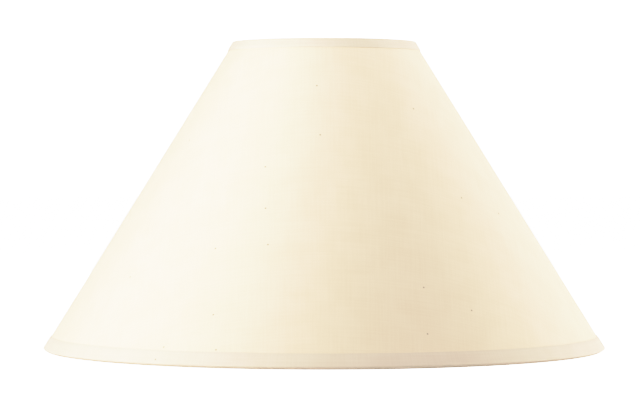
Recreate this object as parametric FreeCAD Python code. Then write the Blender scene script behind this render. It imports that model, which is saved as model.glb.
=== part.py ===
import FreeCAD, Part
import math
import os

# A hardback cone lamp shade: cloth laminated on a stiff rolled liner, a wire ring in each edge, a cloth trim
# folded over each ring, and a recessed three-arm spider with a pressed washer welded under the top ring.
# Millimetres, +Z up. The origin is on the axis, at the level that the bottom trim rests on.

# Overall size
BOTTOM_RADIUS = 236.0  # over the bottom trim
TOP_RADIUS = 77.5  # over the top trim
SLANT = 301.0  # length of the liner along the slope

# Sheets
LINER = 0.4  # styrene
CLOTH = 0.35  # laminated cover
TRIM = 0.8  # trim cloth, doubled by its turned-in edges
GLUE = 0.05  # adhesive film between two sheets
TAPE = 0.1  # double-sided tape in the lap, with its own adhesive
TAPE_ADHESIVE = 0.02  # on each side of the tape's film

# Lap seam, at the back of the shade
SEAM_ANGLE = 90.0  # degrees from +X
LAP_WIDTH = 10.0
LAP_RISE_ANGLE = 2.4  # degrees over which the outer sheet climbs on to the lap
TAPE_MARGIN = 1.0  # the tape stops this far short of the sheet's edges
LAP_SWEEP_ANGLE = 9.0  # wider than the lap is anywhere, before it is trimmed to its width
LAP_CUTTER = 1000.0  # side of the block that trims it

# Trims
BOTTOM_TRIM_WIDTH = 11.0  # the leg that shows outside
TOP_TRIM_WIDTH = 8.0
INNER_LEG_WIDTH = 9.0  # the leg glued to the liner inside
LANDING_RADIUS = 1.5  # bend where the inner leg meets the liner
LANDING_DEPTH = 6.0  # how far from the edge that bend is
TRIM_CREST_ANGLE = 0.3  # degrees that a trim stays raised past the lap's edge
TRIM_FALL_ANGLE = 0.9  # and over which it then comes down again, on the bottom trim
LONGEST_TURN = 60.0  # degrees in one stretch of a rolled sheet or a trim

# Wire frame
RING_WIRE = 1.5  # radius of the ring wire
RING_GAP = 0.1  # between the ring and the liner
ARM_WIRE = 1.5  # radius of the spider arms
ARM_COUNT = 3
FIRST_ARM_ANGLE = 30.0
SPIDER_DROP = 19.0  # from the top ring's centre down to the arms' inner run
ARM_LEVEL_RUN = 9.0  # from the ring's centre in to the first bend
ARM_SLOPE = 60.0  # degrees below level
ARM_BEND_RADIUS = 6.0
ARM_NOTCH_GAP = 0.4  # round each arm where it comes through the top trim

# Pressed washer, with a dished centre that brings its underside level with the arms' flattened ends
HOLE_RADIUS = 5.556  # 7/16 in hole, for the usual 1/4-27 stud and its shoulder
WASHER_RADIUS = 16.0
WASHER_SHEET = 1.6
SEAT_RADIUS = 8.6  # flat centre, underside
FLANGE_INNER_RADIUS = 10.2  # flange, underside
WASHER_EDGE_ROUND = 0.5

# Flattened end of each arm
TAB_INNER_RADIUS = 11.0
TAB_OUTER_RADIUS = 16.4
TAB_TAPER_END = 19.5
TAB_HALF_WIDTH = 2.5
TAB_TAPER_HALF_WIDTH = 1.2
TAB_THICKNESS = 1.6
FLATTENING_END = 16.6  # the wire is round again beyond this radius
FLATTENING_RUNOUT = 1.2

TOLERANCE = 1e-6

# Derived from the sizes above
COVER_INNER = LINER + GLUE
COVER_OUTER = COVER_INNER + CLOTH
TRIM_INNER = COVER_OUTER + GLUE
TRIM_OUTER = TRIM_INNER + TRIM
SLOPE_SINE = (BOTTOM_RADIUS - TOP_RADIUS) / SLANT
SLOPE_COSINE = math.sqrt(1.0 - SLOPE_SINE**2)
LINER_BOTTOM_RADIUS = BOTTOM_RADIUS - TRIM_OUTER * SLOPE_COSINE

RING_OFFSET = -(RING_GAP + RING_WIRE)  # the ring's centre, inside the liner's inner face
RING_DEPTH = RING_WIRE  # and from the sheet's edge
WRAP_RADIUS = RING_WIRE + GLUE + TRIM / 2.0  # middle of the trim cloth where it goes round the ring
EDGE_HEIGHT = WRAP_RADIUS + TRIM / 2.0 - RING_DEPTH * SLOPE_COSINE - RING_OFFSET * SLOPE_SINE

# In the lap the outer end of the sheet lies over the tape and over its own folded cloth edge
FOLD_INNER = COVER_OUTER + TAPE
LIFT = FOLD_INNER + CLOTH + GLUE


def at(offset, slope_length, angle=0.0):
    """The point that lies offset outside the liner's inner face and slope_length up from its lower edge."""
    radius = LINER_BOTTOM_RADIUS + offset * SLOPE_COSINE - slope_length * SLOPE_SINE
    height = EDGE_HEIGHT + offset * SLOPE_SINE + slope_length * SLOPE_COSINE
    turn = math.radians(SEAM_ANGLE + angle)
    return FreeCAD.Vector(radius * math.cos(turn), radius * math.sin(turn), height)


def axis_radius(point):
    return math.hypot(point.x, point.y)


def lap_angle(slope_length):
    """The angle from the seam's line to the lap's outer edge, which keeps one width up the whole slope."""
    return math.degrees(math.asin(LAP_WIDTH / axis_radius(at(LIFT, slope_length))))


def turned(face, angle):
    return face.revolve(FreeCAD.Vector(0, 0, 0), FreeCAD.Vector(0, 0, 1), angle)


def joined(pieces):
    return pieces[0].fuse(pieces[1:]).Solids[0]


def sheet_wire(inner, outer, low, high, angle):
    """The section of a sheet, in the plane through the axis at this angle."""
    corners = [at(inner, low, angle), at(outer, low, angle), at(outer, high, angle), at(inner, high, angle)]
    return Part.makePolygon(corners + corners[:1])


def swept(wire_at, stations):
    """A band through (angle, lift) stations: turned about the axis at one lift, ruled where the lift changes."""
    pieces = []
    for (start, low_lift), (end, high_lift) in zip(stations, stations[1:]):
        if low_lift == high_lift:
            count = math.ceil((end - start) / LONGEST_TURN)
            step = (end - start) / count
            for index in range(count):
                pieces.append(turned(Part.Face(wire_at(low_lift, start + index * step)), step))
        else:
            pieces.append(Part.makeLoft([wire_at(low_lift, start), wire_at(high_lift, end)], True, True))
    return pieces


def beyond_lap(distance):
    """Everything past a plane parallel to the seam's line, at this distance from it."""
    size = LAP_CUTTER
    return Part.makeBox(size, size, size, FreeCAD.Vector(-size - distance, -size / 2.0, -size / 2.0))


def lap_block(inner, outer, low, high, width):
    """A sheet of the lap, from the seam's line out to width."""
    block = turned(Part.Face(sheet_wire(inner, outer, low, high, 0.0)), LAP_SWEEP_ANGLE)
    return block.cut(beyond_lap(width))


def liner():
    def wire_at(lift, angle):
        return sheet_wire(lift, lift + LINER, 0.0, SLANT, angle)

    stations = [(0.0, 0.0), (360.0 - LAP_RISE_ANGLE, 0.0), (360.0, LIFT)]
    lap = lap_block(LIFT, LIFT + LINER, 0.0, SLANT, LAP_WIDTH - CLOTH - GLUE)
    return joined(swept(wire_at, stations) + [lap])


def fabric_cover():
    """The cloth, with its outer end folded under the liner's lapped end."""

    def wire_at(lift, angle):
        return sheet_wire(lift + COVER_INNER, lift + COVER_OUTER, 0.0, SLANT, angle)

    stations = [(0.0, 0.0), (360.0 - LAP_RISE_ANGLE, 0.0), (360.0, LIFT)]
    folded = lap_block(FOLD_INNER, LIFT + COVER_OUTER, 0.0, SLANT, LAP_WIDTH)
    liner_space = lap_block(LIFT - GLUE, LIFT + COVER_INNER, 0.0, SLANT, LAP_WIDTH - CLOTH)
    return joined(swept(wire_at, stations) + [folded.cut(liner_space)])


def seam_tape():
    """The tape's film, between the cover and the cover's own folded end."""
    inner = COVER_OUTER + TAPE_ADHESIVE
    outer = FOLD_INNER - TAPE_ADHESIVE
    strip = lap_block(inner, outer, TAPE_MARGIN, SLANT - TAPE_MARGIN, LAP_WIDTH - TAPE_MARGIN)
    return strip.Solids[0]


def belt_headings(rollers):
    """The direction of each straight run of a belt that passes round (x, y, signed radius) rollers in turn.
    A roller on the right of the belt has a positive radius, and one on its left a negative one."""
    headings = []
    for (x0, y0, r0), (x1, y1, r1) in zip(rollers, rollers[1:]):
        distance = math.hypot(x1 - x0, y1 - y0)
        headings.append(math.atan2(y1 - y0, x1 - x0) - math.asin((r0 - r1) / distance))
    return headings


def belt_side(rollers, headings, shift):
    """One face of the belt: a point and a point, or an arc's three points, for each run and each roller."""

    def touch(roller, heading):
        reach = roller[2] + shift
        return (roller[0] - reach * math.sin(heading), roller[1] + reach * math.cos(heading))

    spans = []
    for index, heading in enumerate(headings):
        spans.append([touch(rollers[index], heading), touch(rollers[index + 1], heading)])
        if index + 1 < len(headings):
            after = headings[index + 1]
            middle = heading + math.remainder(after - heading, 2.0 * math.pi) / 2.0
            spans.append([touch(rollers[index + 1], h) for h in (heading, middle, after)])
    return spans


def trim_wire(lift, angle, width, top):
    """The folded trim's section: down the outside, under the sheet's edge, round the ring, up the inside."""

    def place(point):
        depth = SLANT - point[1] if top else point[1]
        return at(point[0], depth, angle)

    middle = TRIM / 2.0
    outer_leg = (lift + TRIM_INNER + middle, width, 0.0)
    sheet_corner = (lift + COVER_OUTER, 0.0, GLUE + middle)
    ring = (RING_OFFSET, RING_DEPTH, WRAP_RADIUS)
    landing = (-GLUE - middle - LANDING_RADIUS, LANDING_DEPTH, -LANDING_RADIUS)
    inner_leg = (-GLUE - middle, INNER_LEG_WIDTH, 0.0)
    rollers = [outer_leg, sheet_corner, ring, landing, inner_leg]
    headings = belt_headings(rollers)
    # Half a turn and more goes round the ring, so its turn is measured clockwise
    headings = [h if h <= 0.0 else h - 2.0 * math.pi for h in headings]

    outside = belt_side(rollers, headings, middle)
    inside = belt_side(rollers, headings, -middle)
    outline = outside + [[outside[-1][-1], inside[-1][-1]]]
    outline += [span[::-1] for span in inside[::-1]]
    outline.append([inside[0][0], outside[0][0]])
    edges = []
    for span in outline:
        points = [place(p) for p in span]
        if len(points) == 2:
            edges.append(Part.LineSegment(*points).toShape())
        else:
            edges.append(Part.Arc(*points).toShape())
    return Part.Wire(edges)


def trim(width, top):
    """A trim, lifted where it passes over the lap."""
    # The lap is widest, as an angle, at the end of this trim that is nearer the axis
    narrow_end = SLANT if top else width
    crest_end = lap_angle(narrow_end) + TRIM_CREST_ANGLE
    landed = crest_end + TRIM_FALL_ANGLE * (BOTTOM_RADIUS / TOP_RADIUS if top else 1.0)
    stations = [
        (landed, 0.0),
        (360.0 - LAP_RISE_ANGLE, 0.0),
        (360.0, LIFT),
        (360.0 + crest_end, LIFT),
        (360.0 + landed, 0.0),
    ]

    def wire_at(lift, angle):
        return trim_wire(lift, angle, width, top)

    return joined(swept(wire_at, stations))


def ring_centre(top):
    return at(RING_OFFSET, SLANT - RING_DEPTH if top else RING_DEPTH, -SEAM_ANGLE)


def wire_ring(top):
    centre = ring_centre(top)
    return Part.makeTorus(centre.x, RING_WIRE, FreeCAD.Vector(0, 0, centre.z), FreeCAD.Vector(0, 0, 1))


def bent_wire(corners, bend_radius, wire_radius):
    """A round wire through these corners, with a tangent arc at each bend."""
    edges = []
    start = corners[0]
    for before, corner, after in zip(corners, corners[1:], corners[2:]):
        back = (before - corner).normalize()
        ahead = (after - corner).normalize()
        half = back.getAngle(ahead) / 2.0
        setback = bend_radius / math.tan(half)
        to_centre = (back + ahead).normalize() * (bend_radius / math.sin(half))
        inward = FreeCAD.Vector(to_centre).normalize() * bend_radius
        first = corner + back * setback
        last = corner + ahead * setback
        edges.append(Part.LineSegment(start, first).toShape())
        edges.append(Part.Arc(first, corner + to_centre - inward, last).toShape())
        start = last
    edges.append(Part.LineSegment(start, corners[-1]).toShape())
    section = Part.Wire(Part.makeCircle(wire_radius, corners[0], corners[1] - corners[0]))
    return Part.Wire(edges).makePipeShell([section], True, False)


def arm_run_height():
    return ring_centre(True).z - SPIDER_DROP


def washer_bottom():
    return arm_run_height() - TAB_THICKNESS / 2.0


def flattening_cutter(side):
    """What pressing the arm's end flat takes away above (side 1) or below (side -1) it."""
    height = arm_run_height()
    flat = height + side * TAB_THICKNESS / 2.0
    far = flat + side * FLATTENING_RUNOUT
    outline = [(0.0, flat), (FLATTENING_END, flat), (FLATTENING_END + FLATTENING_RUNOUT, far), (0.0, far)]
    reach = 2.0 * TAB_HALF_WIDTH
    points = [FreeCAD.Vector(x, -reach, z) for x, z in outline]
    face = Part.Face(Part.makePolygon(points + points[:1]))
    return face.extrude(FreeCAD.Vector(0, 2.0 * reach, 0))


def tab():
    """The flattened end, from the washer's flange out to where it runs into the round wire."""
    outline = [
        (TAB_INNER_RADIUS, -TAB_HALF_WIDTH),
        (TAB_OUTER_RADIUS, -TAB_HALF_WIDTH),
        (TAB_TAPER_END, -TAB_TAPER_HALF_WIDTH),
        (TAB_TAPER_END, TAB_TAPER_HALF_WIDTH),
        (TAB_OUTER_RADIUS, TAB_HALF_WIDTH),
        (TAB_INNER_RADIUS, TAB_HALF_WIDTH),
    ]
    points = [FreeCAD.Vector(x, y, washer_bottom()) for x, y in outline]
    face = Part.Face(Part.makePolygon(points + points[:1]))
    return face.extrude(FreeCAD.Vector(0, 0, TAB_THICKNESS))


def arm_corners():
    ring = ring_centre(True)
    bend = ring.x - ARM_LEVEL_RUN
    foot = bend - SPIDER_DROP / math.tan(math.radians(ARM_SLOPE))
    return [
        FreeCAD.Vector(ring.x, 0, ring.z),
        FreeCAD.Vector(bend, 0, ring.z),
        FreeCAD.Vector(foot, 0, arm_run_height()),
        FreeCAD.Vector(TAB_INNER_RADIUS, 0, arm_run_height()),
    ]


def spider_arm(angle):
    """One arm: coped to the ring's wire at its outer end, pressed flat under the washer at its inner end."""
    wire = bent_wire(arm_corners(), ARM_BEND_RADIUS, ARM_WIRE)
    arm = wire.cut(flattening_cutter(1)).cut(flattening_cutter(-1)).fuse(tab()).removeSplitter()
    beyond_ring = Part.makeBox(4 * RING_WIRE, 4 * ARM_WIRE, 4 * ARM_WIRE)
    beyond_ring.translate(ring_centre(True) - FreeCAD.Vector(0, 2 * ARM_WIRE, 2 * ARM_WIRE))
    arm = arm.cut(beyond_ring).cut(wire_ring(True))
    arm = max(arm.Solids, key=lambda solid: solid.Volume)
    arm.rotate(FreeCAD.Vector(0, 0, 0), FreeCAD.Vector(0, 0, 1), angle)
    return arm


def arm_notch(angle):
    """Room for an arm where it comes through the top trim."""
    start = arm_corners()[0]
    notch = Part.makeCylinder(ARM_WIRE + ARM_NOTCH_GAP, ARM_LEVEL_RUN, start, FreeCAD.Vector(-1, 0, 0))
    notch.rotate(FreeCAD.Vector(0, 0, 0), FreeCAD.Vector(0, 0, 1), angle)
    return notch


def arm_angles():
    return [FIRST_ARM_ANGLE + index * 360.0 / ARM_COUNT for index in range(ARM_COUNT)]


def fitter_washer():
    low = washer_bottom()
    step = WASHER_SHEET
    crown = FLANGE_INNER_RADIUS - SEAT_RADIUS
    outline = [
        (HOLE_RADIUS, low),
        (SEAT_RADIUS, low),
        (FLANGE_INNER_RADIUS, low + step),
        (WASHER_RADIUS, low + step),
        (WASHER_RADIUS, low + 2.0 * step),
        (FLANGE_INNER_RADIUS - crown / 2.0, low + 2.0 * step),
        (SEAT_RADIUS - crown / 2.0, low + step),
        (HOLE_RADIUS, low + step),
    ]
    points = [FreeCAD.Vector(x, 0, z) for x, z in outline]
    washer = turned(Part.Face(Part.makePolygon(points + points[:1])), 360.0)
    boxes = [(edge, edge.BoundBox) for edge in washer.Edges]
    rim = [e for e, box in boxes if abs(box.XMax - WASHER_RADIUS) < TOLERANCE and box.ZLength < TOLERANCE]
    return washer.makeFillet(WASHER_EDGE_ROUND, rim)


def write(name, shape):
    solids = shape.Solids
    if len(solids) != 1 or not shape.isValid():
        raise RuntimeError(f"{name} isn't one valid solid")
    solids[0].exportStep(f"parts/{name}.step")
    box = shape.BoundBox
    print(f"{name}: {shape.Volume:.1f} mm3, z {box.ZMin:.2f} to {box.ZMax:.2f}")


def main():
    os.makedirs("parts", exist_ok=True)
    write("liner", liner())
    write("fabric_cover", fabric_cover())
    write("seam_tape", seam_tape())
    write("bottom_ring", wire_ring(False))
    write("bottom_trim", trim(BOTTOM_TRIM_WIDTH, False))
    write("top_ring", wire_ring(True))
    top_trim = trim(TOP_TRIM_WIDTH, True)
    for index, angle in enumerate(arm_angles(), start=1):
        write(f"spider_arm_{index}", spider_arm(angle))
        top_trim = top_trim.cut(arm_notch(angle))
    write("top_trim", top_trim)
    write("fitter_washer", fitter_washer())


main()
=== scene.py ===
import math

import bpy
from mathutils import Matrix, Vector, noise


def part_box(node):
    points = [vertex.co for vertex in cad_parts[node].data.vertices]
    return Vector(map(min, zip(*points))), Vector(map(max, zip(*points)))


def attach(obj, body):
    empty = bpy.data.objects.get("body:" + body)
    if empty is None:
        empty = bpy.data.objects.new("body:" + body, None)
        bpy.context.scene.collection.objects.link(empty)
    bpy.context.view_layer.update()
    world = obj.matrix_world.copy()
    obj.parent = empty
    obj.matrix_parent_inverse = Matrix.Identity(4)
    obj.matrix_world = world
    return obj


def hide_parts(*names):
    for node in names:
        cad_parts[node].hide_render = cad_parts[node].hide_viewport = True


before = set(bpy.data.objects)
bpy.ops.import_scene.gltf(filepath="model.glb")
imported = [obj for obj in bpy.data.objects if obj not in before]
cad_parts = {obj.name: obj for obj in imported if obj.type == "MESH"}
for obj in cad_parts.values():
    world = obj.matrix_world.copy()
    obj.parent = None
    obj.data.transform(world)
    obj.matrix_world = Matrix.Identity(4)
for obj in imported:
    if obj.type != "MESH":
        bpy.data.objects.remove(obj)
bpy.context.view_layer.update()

# Sheets of the shade, in metres, as in the CAD model
LINER = 0.0004
CLOTH = 0.00035
TRIM = 0.0008
GLUE = 0.00005
TAPE = 0.0001
RING_GAP = 0.0001

# Lap seam at the back
SEAM_AZIMUTH = math.radians(90.0)
LAP_WIDTH = 0.010
LAP_RISE = 0.0045  # along the rim, over which the outer sheet climbs on to the lap
FOLD_RETURN = 0.0092  # the turned-under cloth inside the lap
RISE_STEPS = 6
LAP_STEPS = 5
FOLD_STEPS = 8
RETURN_STEPS = 4
HIDDEN_POINTS = FOLD_STEPS + RETURN_STEPS + 1  # of a folded sheet's loop, inside the lap

# Trims
BOTTOM_TRIM_WIDTH = 0.011
TOP_TRIM_WIDTH = 0.008
INNER_LEG_WIDTH = 0.009
EDGE_PINCH = 0.0004  # by which the outer leg's folded edge is pressed thinner
PINCH_REACH = 0.0025
LANDING_RADIUS = 0.0015
LANDING_DEPTH = 0.006
TRIM_START = 0.017  # past the seam's line, along the rim
TRIM_OVERLAP = 0.013  # how far the trim's end laps over its start
TRIM_CLIMB = 0.004  # over which that end climbs on to the start
CREST_WIDTH = 0.0004  # a trim stays raised this far past the lap's edge
CUT_END_SHARE = 0.2  # how much of its thickness a strip keeps at its very ends

# Unevenness of the trims: how much, and how many waves there are to a metre
WIDTH_WANDER, WIDTH_WANDER_RATE = 0.00022, 22.0
WIDTH_RIPPLE, WIDTH_RIPPLE_RATE = 0.0001, 140.0
LEG_WANDER, LEG_WANDER_RATE = 0.0006, 40.0
TRIM_GATHER, TRIM_GATHER_RATE = 0.0004, 190.0
TRIM_UNEVEN, TRIM_UNEVEN_RATE = 0.00006, 90.0
GATHER_START, GATHER_FADE = 0.002, 0.003  # depth from the edge at which the gathers begin and grow
GATHER_INSIDE = 0.001  # and how far inside the cone
TOP_TRIM_SEED = 3.0
LEG_SEED = Vector((5.0, 0.0, 0.0))
UNEVEN_SEED = 9.0

# Spider arms
FIRST_ARM = math.radians(30.0)
ARM_COUNT = 3
SLIT_CLEARANCE = 0.0003  # the cloth is slit round each arm with this much room
SLIT_DEPTH = 0.008
SLIT_SIDES = 48

# Unevenness of the laminated cover, which lies flat at the hems
COVER_RELIEF = 0.0002
RELIEF_FADE = 0.02
BROAD_RATE = 14.0  # waves to a metre
FINE_RATE = 60.0
RELIEF_SEED = Vector((7.0, 3.0, 1.0))

# Points round the cone, and rows up it
SHEET_STEPS = 360
COVER_ROWS = 70
LINER_ROWS = 40
BOTTOM_TRIM_STEPS = 560
TOP_TRIM_STEPS = 360

# The lap lifts everything outside it by the tape, a folded cloth edge and a second laminate
COVER_INNER = LINER + GLUE
COVER_OUTER = COVER_INNER + CLOTH
FOLD_INNER = COVER_OUTER + TAPE
LIFT = FOLD_INNER + CLOTH + GLUE


def ring_facts(node):
    """A wire ring's centre-line radius, its height and its wire's radius."""
    low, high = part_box(node)
    wire = (high.z - low.z) / 2
    return (high.x - low.x) / 2 - wire, (high.z + low.z) / 2, wire


# The cone, worked out from the two wire rings
BOTTOM_RING_RADIUS, BOTTOM_RING_HEIGHT, WIRE = ring_facts("bottom_ring")
TOP_RING_RADIUS, TOP_RING_HEIGHT, _ = ring_facts("top_ring")
RING_RUN = math.hypot(BOTTOM_RING_RADIUS - TOP_RING_RADIUS, TOP_RING_HEIGHT - BOTTOM_RING_HEIGHT)
SINE = (BOTTOM_RING_RADIUS - TOP_RING_RADIUS) / RING_RUN
COSINE = (TOP_RING_HEIGHT - BOTTOM_RING_HEIGHT) / RING_RUN
SLANT = RING_RUN + 2 * WIRE
RING_OFFSET = -(RING_GAP + WIRE)
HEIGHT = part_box("top_trim")[1].z


def radius_at(offset, slope):
    """Distance from the axis of the point that is offset outside the liner's inner face, and slope up
    from the liner's lower edge."""
    return BOTTOM_RING_RADIUS + (offset - RING_OFFSET) * COSINE - (slope - WIRE) * SINE


def at(offset, slope, angle):
    """That point, at this angle in radians from the seam's line, anticlockwise from above."""
    radius = radius_at(offset, slope)
    height = BOTTOM_RING_HEIGHT + (offset - RING_OFFSET) * SINE + (slope - WIRE) * COSINE
    turn = SEAM_AZIMUTH + angle
    return Vector((radius * math.cos(turn), radius * math.sin(turn), height))


APEX_TO_RIM = radius_at(0.0, 0.0) / SINE  # along the slope


def flat_place(slope, angle):
    """Where a point lies on the cover's flat cut: a sector with its straight grain up the front's middle."""
    reach = APEX_TO_RIM - slope
    turn = (angle - math.pi) * SINE
    return (reach * math.sin(turn), -reach * math.cos(turn))


def smooth(x):
    x = min(1.0, max(0.0, x))
    return x * x * (3 - 2 * x)


# ---- meshes

def new_piece(name, points, faces, flats, material):
    """A smooth-shaded piece that keeps each point's place on the flat cloth as a UV map, in metres."""
    mesh = bpy.data.meshes.new(name)
    mesh.from_pydata(points, [], faces)
    mesh.update()
    layer = mesh.uv_layers.new(name="flat")
    for loop in mesh.loops:
        layer.data[loop.index].uv = flats[loop.vertex_index]
    mesh.polygons.foreach_set("use_smooth", [True] * len(mesh.polygons))
    mesh.materials.append(material)
    piece = bpy.data.objects.new(name, mesh)
    bpy.context.scene.collection.objects.link(piece)
    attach(piece, "root")
    return piece


def lofted(sections):
    """Faces of a closed band through loops of equal length, with its ends shut. Each loop runs out and
    back, so an end is shut by a strip between its two halves."""
    size = len(sections[0])
    faces = []
    for row in range(len(sections) - 1):
        for i in range(size):
            j = (i + 1) % size
            faces.append((row * size + i, row * size + j, (row + 1) * size + j, (row + 1) * size + i))
    last = (len(sections) - 1) * size
    for i in range(size // 2 - 1):
        a, b, c, d = i, i + 1, size - 2 - i, size - 1 - i
        faces.append((d, c, b, a))
        faces.append((last + a, last + b, last + c, last + d))
    return faces


def soft_relief(point, amount):
    """A gentle unevenness that only ever stands outward."""
    broad = noise.noise(point * BROAD_RATE)
    fine = noise.noise(point * FINE_RATE + RELIEF_SEED)
    return amount * (0.5 + 0.4 * broad + 0.1 * fine)


def sheet_section(slope, steps, inner, outer, lap_end, folded):
    """A rolled sheet's loop at one level: its outer face from the start to the lap's edge, then its inner
    face back. A folded sheet's cloth goes on past the edge and back under the lap."""
    rim = radius_at(outer, slope)
    rise = LAP_RISE / rim
    stations = [((2 * math.pi - rise) * i / steps, 0.0) for i in range(steps + 1)]
    for k in range(1, RISE_STEPS + 1):
        climbed = k / RISE_STEPS
        stations.append((2 * math.pi - rise + rise * climbed, LIFT * smooth(climbed)))
    middle = (inner + outer) / 2
    half = (outer - inner) / 2
    # Each point of the path is its angle, its offset, and which way the sheet's outer side faces there
    path = [(angle, lift + middle, 0.0, 1.0) for angle, lift in stations]
    if folded:
        # Over the liner's end, round the fold, and back under it
        fold = (LIFT + middle - FOLD_INNER - half) / 2
        centre = lap_end - fold - half
        level = LIFT + middle - fold
        for k in range(1, LAP_STEPS + 1):
            path.append((2 * math.pi + centre * k / LAP_STEPS / rim, LIFT + middle, 0.0, 1.0))
        for k in range(1, FOLD_STEPS + 1):
            turn = math.pi * k / FOLD_STEPS
            path.append((2 * math.pi + (centre + fold * math.sin(turn)) / rim, level + fold * math.cos(turn),
                         math.sin(turn), math.cos(turn)))
        for k in range(1, RETURN_STEPS + 1):
            back = centre - FOLD_RETURN * k / RETURN_STEPS
            path.append((2 * math.pi + back / rim, level - fold, 0.0, -1.0))
    else:
        for k in range(1, LAP_STEPS + 1):
            path.append((2 * math.pi + lap_end * k / LAP_STEPS / rim, LIFT + middle, 0.0, 1.0))
    faces = []
    for side in (1, -1):
        run = [(angle + side * half * along / rim, offset + side * half * out)
               for angle, offset, along, out in path]
        faces.append(run)
    return faces[0] + faces[1][::-1]


def rolled_sheet(name, node, material, inner, outer, lap_end, folded, steps, rows, relief):
    """The liner or the cover: one sheet rolled into the cone and lapped at the back."""
    sections, flats = [], []
    for row in range(rows + 1):
        slope = SLANT * row / rows
        # The sheet lies flat under the trims
        above_hem = smooth((slope - BOTTOM_TRIM_WIDTH) / RELIEF_FADE)
        below_hem = smooth((SLANT - TOP_TRIM_WIDTH - slope) / RELIEF_FADE)
        loop = []
        section = sheet_section(slope, steps, inner, outer, lap_end, folded)
        for index, (angle, offset) in enumerate(section):
            outside = index < len(section) // 2 - HIDDEN_POINTS
            point = at(offset, slope, angle)
            if relief and outside:
                point = at(offset + soft_relief(point, relief) * (above_hem * below_hem), slope, angle)
            loop.append(point)
            flats.append(flat_place(slope, angle))
        sections.append(loop)
    points = [p for loop in sections for p in loop]
    piece = new_piece(name, points, lofted(sections), flats, material)
    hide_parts(node)
    return piece


def belt_headings(rollers):
    """The direction of each straight run of a belt that passes round (x, y, signed radius) rollers."""
    headings = []
    for (x0, y0, r0), (x1, y1, r1) in zip(rollers, rollers[1:]):
        distance = math.hypot(x1 - x0, y1 - y0)
        heading = math.atan2(y1 - y0, x1 - x0) - math.asin((r0 - r1) / distance)
        headings.append(heading if heading <= 0.0 else heading - 2 * math.pi)
    return headings


# Points along each run and each bend of a trim's section
RUN_POINTS = (12, 3, 5, 6)
BEND_POINTS = (6, 14, 6)
EDGE_POINTS = 3
END_STEPS = 3


def belt_side(rollers, headings, shift):
    """One face of the belt, as points."""

    def touch(roller, heading):
        reach = roller[2] + shift
        return Vector((roller[0] - reach * math.sin(heading), roller[1] + reach * math.cos(heading)))

    line = []
    for index, heading in enumerate(headings):
        start = touch(rollers[index], heading)
        end = touch(rollers[index + 1], heading)
        count = RUN_POINTS[index]
        line += [start.lerp(end, k / count) for k in range(count)]
        if index + 1 < len(headings):
            turn = math.remainder(headings[index + 1] - heading, 2 * math.pi)
            count = BEND_POINTS[index]
            line += [touch(rollers[index + 1], heading + turn * k / count) for k in range(count)]
        else:
            line.append(end)
    return line


def trim_section(lift, layer, width, inner_leg, half):
    """A trim's loop of (offset, depth from the edge): its outer face all the way round, then its inner face
    back. layer lifts the whole fold off what it covers, and half is half its thickness."""
    middle = TRIM / 2
    rollers = [
        (lift + COVER_OUTER + GLUE + middle, width, 0.0),
        (lift + COVER_OUTER, 0.0, GLUE + middle),
        (RING_OFFSET, WIRE, WIRE + GLUE + middle),
        (-GLUE - middle - LANDING_RADIUS, LANDING_DEPTH, -LANDING_RADIUS),
        (-GLUE - middle, inner_leg, 0.0),
    ]
    headings = belt_headings(rollers)
    outside = belt_side(rollers, headings, layer + half)
    inside = belt_side(rollers, headings, layer - half)
    # The long folded edge outside is pressed thin
    for point in outside[:RUN_POINTS[0]]:
        point.x -= EDGE_PINCH * half / (TRIM / 2) * (1 - smooth((width - point.y) / PINCH_REACH))

    def edge(first, last):
        """The rounded fold that joins the two faces at a long edge of the strip."""
        centre = (first + last) / 2
        arm = first - centre
        out = Vector((0.0, half))
        return [centre + arm * math.cos(t) + out * math.sin(t)
                for t in (math.pi * k / (2 * EDGE_POINTS + 1) for k in range(1, 2 * EDGE_POINTS + 1))]

    head = edge(inside[0], outside[0])
    tail = edge(outside[-1], inside[-1])
    return head[EDGE_POINTS:] + outside + tail + inside[::-1] + head[:EDGE_POINTS]


def cover_lift(along):
    """How far the cover's lap lifts a trim, by the distance along the rim from the seam's line."""
    climb = smooth((along + LAP_RISE) / LAP_RISE)
    fall = 1 - smooth((along - LAP_WIDTH - CREST_WIDTH) / LAP_RISE)
    return LIFT * climb * fall


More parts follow.
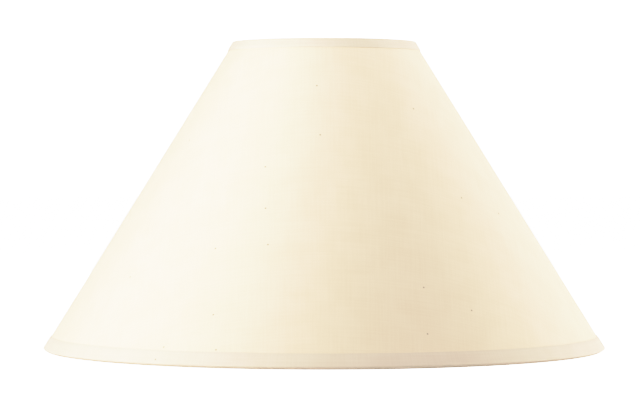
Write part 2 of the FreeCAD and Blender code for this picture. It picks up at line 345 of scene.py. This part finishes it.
def folded_trim(name, node, material, top, width, steps):
    """A strip of doubled cloth folded over one edge of the shade and its wire, with its end lapped over
    its start."""
    edge_slope = SLANT if top else 0.0
    rim = radius_at(COVER_OUTER, edge_slope)
    start = TRIM_START / rim
    sweep = 2 * math.pi + TRIM_OVERLAP / rim
    angles = [sweep * i / steps for i in range(steps + 1)]
    # Extra stations round off the strip's two cut ends
    for k in range(1, END_STEPS + 1):
        angles += [TRIM / 2 * k / END_STEPS / rim, sweep - TRIM / 2 * k / END_STEPS / rim]
    angles.sort()
    sections, flats = [], []
    for turned in angles:
        angle = start + turned
        along = math.remainder(angle, 2 * math.pi) * rim
        layer = (TRIM + GLUE) * smooth((turned - 2 * math.pi) * rim / TRIM_CLIMB + 1)
        end = min(turned, sweep - turned) * rim / (TRIM / 2)
        half = TRIM / 2 * math.sqrt(max(CUT_END_SHARE ** 2, 1 - max(0.0, 1 - end) ** 2))
        place = Vector((math.cos(angle), math.sin(angle), TOP_TRIM_SEED if top else 0.0)) * rim
        wide = width + WIDTH_WANDER * noise.noise(place * WIDTH_WANDER_RATE)
        wide += WIDTH_RIPPLE * noise.noise(place * WIDTH_RIPPLE_RATE)
        leg = INNER_LEG_WIDTH + LEG_WANDER * noise.noise(place * LEG_WANDER_RATE + LEG_SEED)
        gather_here = TRIM_GATHER * (0.5 + 0.5 * noise.noise(place * TRIM_GATHER_RATE))
        loop = []
        for offset, depth in trim_section(cover_lift(along), layer, wide, leg, half):
            # Gathers where the strip is pressed flat on the inside of the cone
            inside = smooth(-offset / GATHER_INSIDE) * smooth((depth - GATHER_START) / GATHER_FADE)
            gather = gather_here * inside
            across = Vector((0.0, depth * TRIM_UNEVEN_RATE, UNEVEN_SEED))
            uneven = TRIM_UNEVEN * noise.noise(place * TRIM_UNEVEN_RATE + across)
            slope = SLANT - depth if top else depth
            loop.append(at(offset + (uneven if offset > 0 else -gather), slope, angle))
            flats.append((turned * rim, depth if offset > 0 else -depth))
        sections.append(loop)
    points = [p for loop in sections for p in loop]
    piece = new_piece(name, points, lofted(sections), flats, material)
    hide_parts(node)
    return piece


def slit_for_arms(piece):
    """Cuts the top trim's inner leg where the spider's arms come through it."""
    for index in range(ARM_COUNT):
        turn = FIRST_ARM + 2 * math.pi * index / ARM_COUNT
        inward = Vector((-math.cos(turn), -math.sin(turn), 0.0))
        middle = -inward * (TOP_RING_RADIUS - SLIT_DEPTH / 2) + Vector((0.0, 0.0, TOP_RING_HEIGHT))
        bpy.ops.mesh.primitive_cylinder_add(vertices=SLIT_SIDES, radius=WIRE + SLIT_CLEARANCE,
                                            depth=SLIT_DEPTH)
        cutter = bpy.context.object
        cutter.location = middle
        cutter.rotation_mode = "QUATERNION"
        cutter.rotation_quaternion = inward.to_track_quat("Z", "Y")
        bpy.context.view_layer.update()
        cut = piece.modifiers.new("slit", "BOOLEAN")
        cut.operation = "DIFFERENCE"
        cut.object = cutter
        with bpy.context.temp_override(object=piece, active_object=piece):
            bpy.ops.object.modifier_apply(modifier=cut.name)
        bpy.data.objects.remove(cutter)


# ---- materials

# Cloth, with rates per metre and places in metres
THREAD_PITCH = 0.00062
THREAD_WANDER, THREAD_WANDER_RATE = 0.0006, 60.0
SLUB_PITCHES = 2.2  # threads across one slub
SLUB_RATE = 22.0  # along the thread
PATCH_RATE = 45.0
PATCH_SHADE = 0.16
SLUB_SHADE = 0.25
# How much the gaps between threads are darkened and the crowns lightened, as painted shade
PAINTED_WEAVE_SHADE = 0.2
LIGHTEST = 1.03  # of the cloth's colour
DARKEST = (0.965, 0.955, 0.93)
NEP_CELLS = 24.0
NEP_CORE, NEP_RIM = 0.011, 0.024  # of a cell
NEP_STRENGTH = 0.6
NEP_COLOUR = (0.30, 0.22, 0.12, 1.0)


class Nodes:
    """A material's node tree, with a short way to add and link nodes."""

    def __init__(self, name):
        self.material = bpy.data.materials.new(name)
        self.material.use_nodes = True
        self.tree = self.material.node_tree
        self.shader = self.tree.nodes["Principled BSDF"]

    def add(self, kind, values=None, **settings):
        node = self.tree.nodes.new(kind)
        for key, value in settings.items():
            setattr(node, key, value)
        for socket, value in (values or {}).items():
            self.put(node.inputs[socket], value)
        return node

    def put(self, socket, value):
        if isinstance(value, bpy.types.NodeSocket):
            self.tree.links.new(value, socket)
        else:
            socket.default_value = value

    def math(self, operation, first, second=0.0):
        node = self.add("ShaderNodeMath", {0: first, 1: second}, operation=operation)
        return node.outputs[0]

    def ramp(self, value, low, high, to_low=0.0, to_high=1.0):
        node = self.add("ShaderNodeMapRange", {"Value": value, "From Min": low, "From Max": high,
                                               "To Min": to_low, "To Max": to_high})
        node.interpolation_type = "SMOOTHSTEP"
        return node.outputs["Result"]

    def mix(self, factor, first, second):
        node = self.add("ShaderNodeMix", data_type="RGBA")
        self.put(node.inputs["Factor"], factor)
        self.put(node.inputs["A"], first)
        self.put(node.inputs["B"], second)
        return node.outputs["Result"]

    def finish(self, values):
        for socket, value in values.items():
            self.put(self.shader.inputs[socket], value)
        return self.material


def cloth_material(name, colour, nep_share):
    """Plain-weave cotton and linen cloth: crossed rounded threads, thick and thin places, and a few dark
    neps, with painted shade in the gaps between the threads."""
    n = Nodes(name)
    flat = n.add("ShaderNodeUVMap", uv_map="flat").outputs["UV"]
    wander = n.add("ShaderNodeTexNoise", {"Vector": flat, "Scale": THREAD_WANDER_RATE, "Detail": 1.0},
                   noise_dimensions="2D")
    reach = (THREAD_WANDER, THREAD_WANDER, 0.0)
    bend = n.add("ShaderNodeVectorMath", {0: wander.outputs["Color"], 1: reach}, operation="MULTIPLY")
    place = n.add("ShaderNodeVectorMath", {0: flat, 1: bend.outputs[0]}, operation="ADD").outputs[0]
    split = n.add("ShaderNodeSeparateXYZ", {0: place})
    across = n.math("SINE", n.math("MULTIPLY", split.outputs["X"], math.pi / THREAD_PITCH))
    upward = n.math("SINE", n.math("MULTIPLY", split.outputs["Y"], math.pi / THREAD_PITCH))
    over = n.ramp(n.math("MULTIPLY", across, upward), -0.25, 0.25)
    warp = n.math("ABSOLUTE", across)
    weft = n.math("ABSOLUTE", upward)
    threads = n.math("ADD", n.math("MULTIPLY", warp, over),
                     n.math("MULTIPLY", weft, n.math("SUBTRACT", 1.0, over)))

    def slubs(stretch):
        """Places where single threads run thick, long in the thread's own direction."""
        run = n.add("ShaderNodeMapping", {"Vector": flat, "Scale": stretch})
        grain = n.add("ShaderNodeTexNoise", {"Vector": run.outputs[0], "Scale": 1.0, "Detail": 2.0},
                      noise_dimensions="2D")
        return grain.outputs["Fac"]

    slub_width_rate = 1.0 / (SLUB_PITCHES * THREAD_PITCH)
    up_slubs = slubs((slub_width_rate, SLUB_RATE, 1.0))
    cross_slubs = slubs((SLUB_RATE, slub_width_rate, 1.0))
    streaks = n.math("ADD", up_slubs, cross_slubs)

    # One nep at the middle of a few of the cells
    cells = n.add("ShaderNodeTexVoronoi", {"Vector": flat, "Scale": NEP_CELLS}, voronoi_dimensions="2D")
    chosen = n.ramp(n.add("ShaderNodeSeparateXYZ", {0: cells.outputs["Color"]}).outputs["X"],
                    1 - nep_share, 1 - nep_share + 0.01)
    speck = n.math("MULTIPLY", n.ramp(cells.outputs["Distance"], NEP_CORE, NEP_RIM, 1.0, 0.0), chosen)
    patches = n.add("ShaderNodeTexNoise", {"Vector": flat, "Scale": PATCH_RATE, "Detail": 1.0},
                    noise_dimensions="2D")

    patch_shade = n.ramp(patches.outputs["Fac"], 0.3, 0.7, -PATCH_SHADE, PATCH_SHADE)
    slub_shade = n.ramp(streaks, 0.6, 1.4, -SLUB_SHADE, SLUB_SHADE)
    # Painted shade: the colour is darker in the gaps between threads and lighter on their crowns
    painted_weave_shade = n.math("MULTIPLY", n.math("SUBTRACT", threads, 0.6), PAINTED_WEAVE_SHADE)
    shade = n.math("ADD", patch_shade, n.math("ADD", slub_shade, painted_weave_shade))
    light = [min(1.0, c * LIGHTEST) for c in colour] + [1.0]
    dark = [c * d for c, d in zip(colour, DARKEST)] + [1.0]
    body = n.mix(n.math("ADD", shade, 0.5), tuple(dark), tuple(light))
    flecked = n.mix(n.math("MULTIPLY", speck, NEP_STRENGTH), body, NEP_COLOUR)
    height = n.math("ADD", n.math("MULTIPLY", threads, 0.7),
                    n.math("ADD", n.math("MULTIPLY", streaks, 0.35), n.math("MULTIPLY", speck, 0.8)))
    bump = n.add("ShaderNodeBump", {"Height": height, "Strength": 0.25, "Distance": 0.0001})
    rough = n.ramp(threads, 0.0, 1.0, 0.95, 0.86)
    return n.finish({"Base Color": flecked, "Roughness": rough, "Normal": bump.outputs[0],
                     "Sheen Weight": 0.05, "Sheen Roughness": 0.5, "Specular IOR Level": 0.2})


def styrene_material():
    """Calendered white sheet with a faint pebble."""
    n = Nodes("styrene")
    place = n.add("ShaderNodeTexCoord").outputs["Object"]
    broad = n.add("ShaderNodeTexNoise", {"Vector": place, "Scale": 9.0, "Detail": 2.0})
    pebble = n.add("ShaderNodeTexNoise", {"Vector": place, "Scale": 900.0, "Detail": 1.0})
    tint = n.mix(n.ramp(broad.outputs["Fac"], 0.3, 0.7), (0.86, 0.855, 0.83, 1.0), (0.90, 0.895, 0.875, 1.0))
    bump = n.add("ShaderNodeBump", {"Height": pebble.outputs["Fac"], "Strength": 0.2, "Distance": 0.00005})
    rough = n.ramp(pebble.outputs["Fac"], 0.3, 0.7, 0.42, 0.52)
    return n.finish({"Base Color": tint, "Roughness": rough, "Normal": bump.outputs[0]})


def tape_material():
    n = Nodes("tape")
    place = n.add("ShaderNodeTexCoord").outputs["Object"]
    grain = n.add("ShaderNodeTexNoise", {"Vector": place, "Scale": 300.0})
    tint = n.mix(grain.outputs["Fac"], (0.74, 0.70, 0.58, 1.0), (0.80, 0.77, 0.66, 1.0))
    return n.finish({"Base Color": tint, "Roughness": 0.35})


def plated_material(name, tint, drawn):
    """Bright zinc plate over drawn wire or pressed sheet, with faint spangle and handling marks."""
    n = Nodes(name)
    place = n.add("ShaderNodeTexCoord").outputs["Object"]
    cloud = n.add("ShaderNodeTexNoise", {"Vector": place, "Scale": 140.0, "Detail": 3.0})
    lines = n.add("ShaderNodeTexNoise", {"Vector": place, "Scale": drawn, "Detail": 2.0})
    dull = tuple(c * 0.86 for c in tint) + (1.0,)
    body = n.mix(n.ramp(cloud.outputs["Fac"], 0.35, 0.65), dull, tuple(tint) + (1.0,))
    rough = n.ramp(cloud.outputs["Fac"], 0.3, 0.7, 0.38, 0.24)
    bump = n.add("ShaderNodeBump", {"Height": lines.outputs["Fac"], "Strength": 0.12, "Distance": 0.00004})
    return n.finish({"Base Color": body, "Metallic": 1.0, "Roughness": rough, "Normal": bump.outputs[0]})


def paint_node(node, material):
    """Gives a CAD node that stays its own finish."""
    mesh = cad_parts[node].data
    if not mesh.materials:
        mesh.materials.append(material)
    for index in range(len(mesh.materials)):
        mesh.materials[index] = material


# ---- stage, lights and camera

FLOOR_HALF = 12.0
FLOOR_DROP = 0.0011  # just below the bottom trim's lapped end
FLOOR_GLOW = 2.0  # to the camera only
AMBIENT = 0.10
SHOWN_WHITE = 3.0  # the surroundings' level as the camera sees them
GLOW_RADIUS = 0.05
TONE_CURVE = ((0.35, 0.35), (0.6, 0.6), (0.7, 0.7), (0.8, 0.775), (0.9, 0.829), (1.0, 0.875), (1.1, 0.908),
              (1.2, 0.925), (1.35, 0.946), (1.5, 0.964), (1.8, 0.982))
TONE_END = (2.4, 1.02)
CAMERA_DISTANCE = 2.244  # from the shade's axis
CAMERA_HEIGHT = 0.1537
CAMERA_SIDE = -0.0035
CAMERA_PITCH = 0.0134  # radians downward
CAMERA_LENS = 149.5  # millimetres
CAMERA_SENSOR = 36.0


def stage_floor():
    """A wide pale floor that the camera sees as white as the surroundings."""
    n = Nodes("floor_paint")
    place = n.add("ShaderNodeTexCoord").outputs["Object"]
    grain = n.add("ShaderNodeTexNoise", {"Vector": place, "Scale": 3.0})
    tint = n.mix(grain.outputs["Fac"], (0.93, 0.93, 0.93, 1.0), (0.95, 0.95, 0.95, 1.0))
    seen = n.add("ShaderNodeLightPath").outputs["Is Camera Ray"]
    material = n.finish({"Base Color": tint, "Roughness": 0.9, "Emission Color": (1, 1, 1, 1),
                         "Emission Strength": n.math("MULTIPLY", seen, FLOOR_GLOW)})
    half = FLOOR_HALF
    mesh = bpy.data.meshes.new("floor")
    corners = [(-half, -half, 0), (half, -half, 0), (half, half, 0), (-half, half, 0)]
    mesh.from_pydata(corners, [], [(0, 1, 2, 3)])
    mesh.materials.append(material)
    floor = bpy.data.objects.new("floor", mesh)
    bpy.context.scene.collection.objects.link(floor)
    floor.location.z = -FLOOR_DROP


def area_light(name, azimuth, elevation, distance, width, height, power):
    """A soft box that faces the middle of the shade, in degrees, metres and watts. Azimuth 0 is the camera's
    side, and 90 is its right."""
    a, e = math.radians(azimuth), math.radians(elevation)
    aim = Vector((0.0, 0.0, HEIGHT / 2))
    away = Vector((math.sin(a) * math.cos(e), -math.cos(a) * math.cos(e), math.sin(e)))
    data = bpy.data.lights.new(name, "AREA")
    data.shape = "RECTANGLE"
    data.size = width
    data.size_y = height
    data.energy = power
    lamp = bpy.data.objects.new(name, data)
    bpy.context.scene.collection.objects.link(lamp)
    lamp.location = aim + away * distance
    lamp.rotation_mode = "QUATERNION"
    lamp.rotation_quaternion = (-away).to_track_quat("-Z", "Y")
    lamp.visible_camera = False


def through_cloth(power):
    """A soft warm glow inside, for the daylight that a real shade's cloth and liner let through."""
    data = bpy.data.lights.new("through_cloth", "POINT")
    data.energy = power
    data.color = (1.0, 0.94, 0.84)
    data.shadow_soft_size = GLOW_RADIUS
    lamp = bpy.data.objects.new("through_cloth", data)
    bpy.context.scene.collection.objects.link(lamp)
    lamp.location = (0.0, 0.0, HEIGHT * 0.45)
    lamp.visible_camera = False
    lamp.visible_glossy = False


def surroundings(strength, shown):
    """Even white light from all round, which the camera sees as plain white."""
    world = bpy.data.worlds.new("studio")
    world.use_nodes = True
    tree = world.node_tree
    background = tree.nodes["Background"]
    background.inputs["Color"].default_value = (1.0, 1.0, 1.0, 1.0)
    path = tree.nodes.new("ShaderNodeLightPath")
    level = tree.nodes.new("ShaderNodeMix")
    level.inputs["A"].default_value = strength
    level.inputs["B"].default_value = shown
    tree.links.new(path.outputs["Is Camera Ray"], level.inputs["Factor"])
    tree.links.new(level.outputs["Result"], background.inputs["Strength"])
    bpy.context.scene.world = world


def tone():
    """The display: unchanged up to a pale cream, then a soft shoulder to white."""
    view = bpy.context.scene.view_settings
    view.view_transform = "Standard"
    view.look = "None"
    view.exposure = 0.0
    view.gamma = 1.0
    view.use_curve_mapping = True
    mapping = view.curve_mapping
    mapping.extend = "EXTRAPOLATED"
    mapping.clip_max_x = 4.0
    mapping.clip_max_y = 2.0
    curve = mapping.curves[3]
    curve.points[1].location = TONE_END
    for x, y in TONE_CURVE:
        curve.points.new(x, y)
    mapping.update()


def camera():
    data = bpy.data.cameras.new("camera")
    data.sensor_width = CAMERA_SENSOR
    data.lens = CAMERA_LENS
    eye = bpy.data.objects.new("camera", data)
    bpy.context.scene.collection.objects.link(eye)
    eye.location = (CAMERA_SIDE, -CAMERA_DISTANCE, CAMERA_HEIGHT)
    eye.rotation_euler = (math.pi / 2 - CAMERA_PITCH, 0.0, 0.0)
    bpy.context.scene.camera = eye


# ---- the shade

camera()
cover_cloth = cloth_material("cover_cloth", (0.856, 0.690, 0.511), 0.20)
# The trims are the cover's own cloth; their darker, greyer colour is painted shade, for the light that the
# doubled cloth over the wire holds back
trim_cloth = cloth_material("trim_cloth", (0.745, 0.622, 0.490), 0.05)
plated_wire = plated_material("plated_wire", (0.74, 0.73, 0.71), 2600.0)
plated_steel = plated_material("plated_steel", (0.72, 0.71, 0.69), 1500.0)

cover = rolled_sheet("cover", "fabric_cover", cover_cloth, COVER_INNER, COVER_OUTER,
                     LAP_WIDTH, True, SHEET_STEPS, COVER_ROWS, COVER_RELIEF)
rolled_sheet("liner_sheet", "liner", styrene_material(), 0.0, LINER,
             LAP_WIDTH - CLOTH - GLUE, False, SHEET_STEPS, LINER_ROWS, 0.0)
bottom_trim = folded_trim("bottom_trim_cloth", "bottom_trim", trim_cloth, False, BOTTOM_TRIM_WIDTH,
                          BOTTOM_TRIM_STEPS)
top_trim = folded_trim("top_trim_cloth", "top_trim", trim_cloth, True, TOP_TRIM_WIDTH, TOP_TRIM_STEPS)
slit_for_arms(top_trim)
for node in ("top_ring", "bottom_ring", "spider_arm_1", "spider_arm_2", "spider_arm_3"):
    paint_node(node, plated_wire)
paint_node("fitter_washer", plated_steel)
paint_node("seam_tape", tape_material())

stage_floor()
surroundings(AMBIENT, SHOWN_WHITE)
area_light("key_left", -60.0, 3.0, 1.0, 0.25, 0.25, 4.3)
area_light("second_left", -50.0, 5.0, 0.8, 0.25, 0.25, 2.4)
area_light("near_left", -30.0, 40.0, 0.5, 0.25, 0.25, 0.98)
area_light("side_right", 95.0, 12.0, 1.7, 0.9, 0.5, 31.9)
area_light("front_high", 20.0, 70.0, 1.0, 0.4, 0.4, 2.9)
area_light("back_fill", 195.0, 10.0, 1.7, 0.9, 0.5, 16.0)
through_cloth(0.25)
tone()
